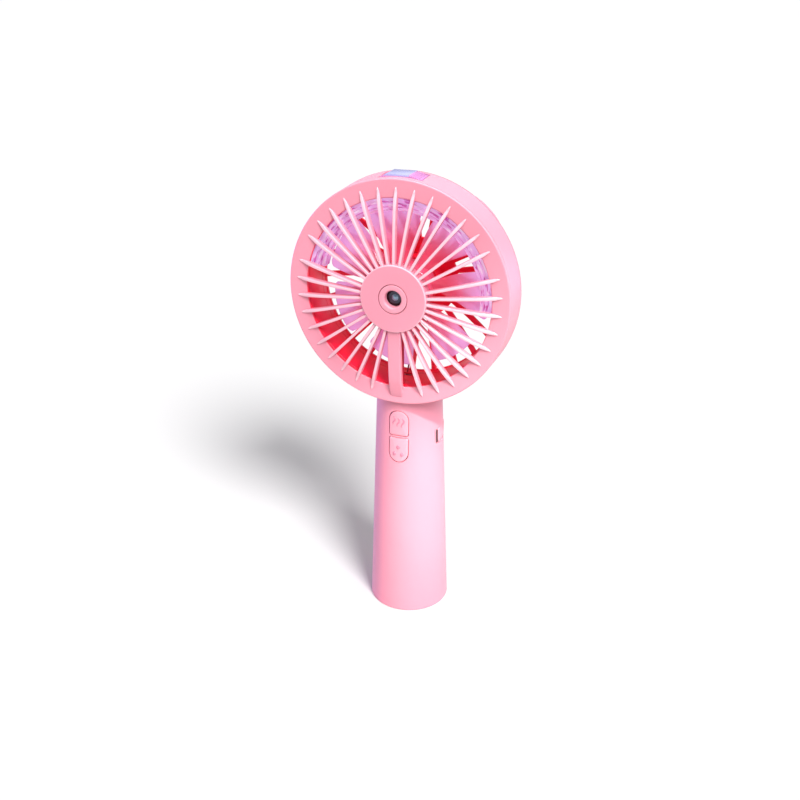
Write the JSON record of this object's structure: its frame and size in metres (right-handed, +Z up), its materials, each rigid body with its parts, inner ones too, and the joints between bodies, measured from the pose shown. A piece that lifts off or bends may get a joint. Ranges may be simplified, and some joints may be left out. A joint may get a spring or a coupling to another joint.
{
  "type": "handheld misting fan",
  "caption": "Handheld battery fan with a drum head, radial front grille with a central mist nozzle, domed rear grille, water tank with filler flap, and a tapered round handle.",
  "frame": {"origin": "centre of the flat base, on the handle's axis", "axes": "+Z up along the handle, -Y out of the front grille, +X towards the side with the charging port"},
  "size_m": [0.106, 0.0436, 0.2231],
  "materials": {
    "shell": "satin",
    "key": "satin",
    "rotor": "translucent gloss",
    "tank": "translucent gloss",
    "seal": "matte",
    "tube": "satin",
    "wick": "matte",
    "disc": "satin",
    "zinc": "satin",
    "nylon": "matte",
    "magnet": "matte",
    "copper": "satin",
    "steel": "satin",
    "brass": "satin",
    "cell": "gloss",
    "board": "gloss",
    "lead_red": "satin",
    "lead_black": "satin",
    "lead_white": "satin"
  },
  "bodies": {
    "housing": {"front_grille": "shell", "hub_plate": "shell", "body_shell": "shell", "rear_cover": "shell", "base_cap": "shell", "nozzle_bezel": "key", "water_tank": "tank", "mist_seal": "seal", "feed_tube": "tube", "mist_wick": "wick", "mist_disc": "disc", "motor_can": "zinc", "motor_bell": "nylon", "motor_magnet": "magnet", "bush_front": "brass", "bush_rear": "brass", "battery_cell": "cell", "cell_tab_top": "steel", "cell_tab_bottom": "steel", "circuit_board": "board", "port_board": "board", "charge_chip": "nylon", "mist_driver": "magnet", "fan_switch": "nylon", "mist_switch": "nylon", "usb_shell": "steel", "usb_tongue": "nylon", "battery_lead_red": "lead_red", "battery_lead_black": "lead_black", "motor_lead_red": "lead_red", "motor_lead_black": "lead_black", "mist_lead": "lead_white", "cover_screw_1": "steel", "cover_screw_2": "steel", "cover_screw_3": "steel", "cover_screw_4": "steel", "base_screw_1": "steel", "motor_screw_1": "steel", "base_screw_2": "steel", "motor_screw_2": "steel"},
    "rotor": {"impeller": "rotor", "motor_shaft": "steel", "motor_winding": "copper"},
    "filler_flap": {"tank_cap": "tank", "cap_plug": "seal"},
    "fan_key": {"fan_button": "key"},
    "mist_key": {"mist_button": "key"},
    "port_flap": {"port_cover": "key"}
  },
  "joints": [
    {"name": "impeller_spin", "type": "hinge", "parent": "housing", "child": "rotor", "pos_m": [0, -0.0069, 0.1696], "axis": [0, 1, 0], "continuous": true},
    {"name": "flap_open", "type": "hinge", "parent": "housing", "child": "filler_flap", "pos_m": [-0.0084, -0.0091, 0.22061], "axis": [0, -1, 0], "range_deg": [0, 75]},
    {"name": "fan_key_press", "type": "slide", "parent": "housing", "child": "fan_key", "axis": [0, 1, 0], "range_m": [0, 0.0005], "stiffness_N_per_m": 700, "springref_m": -0.0008},
    {"name": "mist_key_press", "type": "slide", "parent": "housing", "child": "mist_key", "axis": [0, 1, 0], "range_m": [0, 0.0005], "stiffness_N_per_m": 700, "springref_m": -0.0008},
    {"name": "port_flap_open", "type": "hinge", "parent": "housing", "child": "port_flap", "pos_m": [0.01563, 0.00572, 0.096], "axis": [0, 0, 1], "range_deg": [0, 110]}
  ]
}
